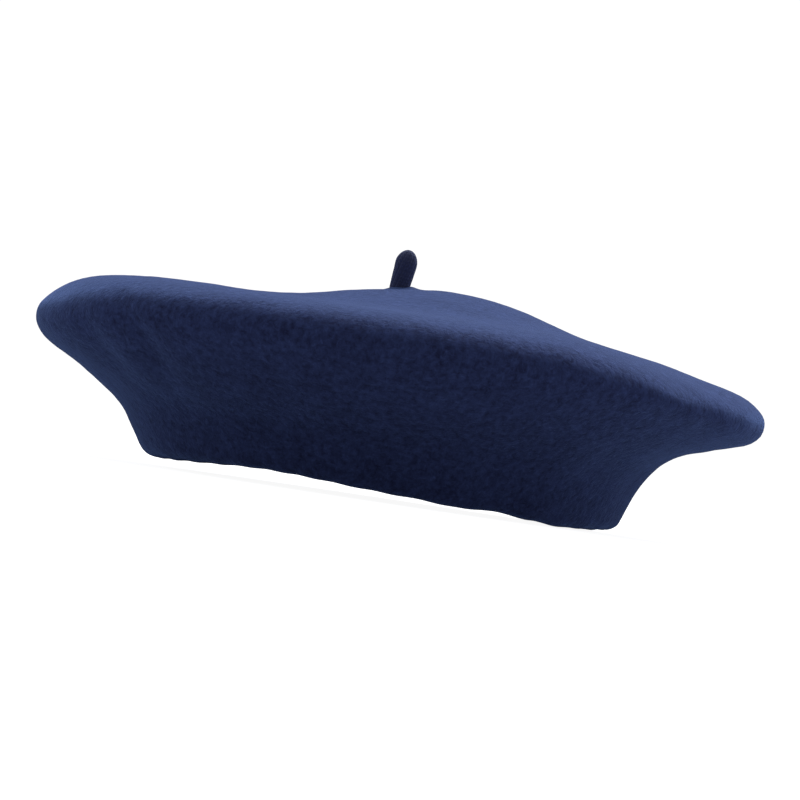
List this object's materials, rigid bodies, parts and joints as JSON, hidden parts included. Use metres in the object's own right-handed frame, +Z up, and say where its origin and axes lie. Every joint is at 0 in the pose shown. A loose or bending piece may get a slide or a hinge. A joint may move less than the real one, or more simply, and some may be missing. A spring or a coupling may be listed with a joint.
{
  "type": "beret",
  "caption": "Seamless felted wool beret with a knitted stem, an elastic turned-in hem and a ribbon sweatband; the crown tips over its collar and the stem bends.",
  "frame": {"origin": "centre of the mouth, in the plane that the hem rests on", "axes": "+Z up through the crown, +Y to the back of the head, +X to the wearer's left"},
  "size_m": [0.28, 0.28, 0.0955],
  "materials": {
    "felt": "matt milled wool felt",
    "knit": "fine ribbed wool knit",
    "ribbon": "ribbed grosgrain",
    "elastic": "braid over rubber",
    "thread": "twisted polyester",
    "label": "blank woven satin tape"
  },
  "bodies": {
    "collar": {"crown_collar": "felt", "hem_elastic": "elastic", "elastic_join_stitches": "thread", "hem_tacks": "thread", "sweatband": "ribbon", "band_join_stitches": "thread", "band_edge_stitches": "thread", "tab_stitches": "thread"},
    "crown": {"crown_shell": "felt", "stem_root": "knit", "root_whipping": "thread", "root_tacks": "thread", "maker_patch": "label", "patch_stitches": "thread"},
    "stem_base": {"stem_neck": "knit"},
    "stem": {"stem_tip": "knit"},
    "tab": {"size_tab": "label"}
  },
  "joints": [
    {"name": "crown_tilt", "type": "hinge", "parent": "collar", "child": "crown", "pos_m": [0, 0, 0.022], "axis": [0, 1, 0], "range_deg": [-10, 10], "stiffness_Nm_per_rad": 0.25},
    {"name": "stem_nod", "type": "hinge", "parent": "crown", "child": "stem_base", "pos_m": [-0.0047, 0, 0.08293], "axis": [0.9925, 0, -0.1219], "range_deg": [-40, 40], "stiffness_Nm_per_rad": 0.002},
    {"name": "stem_tilt", "type": "hinge", "parent": "stem_base", "child": "stem", "pos_m": [-0.00409, 0, 0.08789], "axis": [0, 1, 0], "range_deg": [-45, 45], "stiffness_Nm_per_rad": 0.002},
    {"name": "tab_flap", "type": "hinge", "parent": "collar", "child": "tab", "pos_m": [-0.03458, 0.07767, 0.0264], "axis": [0.9135, 0.4067, 0], "range_deg": [0, 100]}
  ]
}
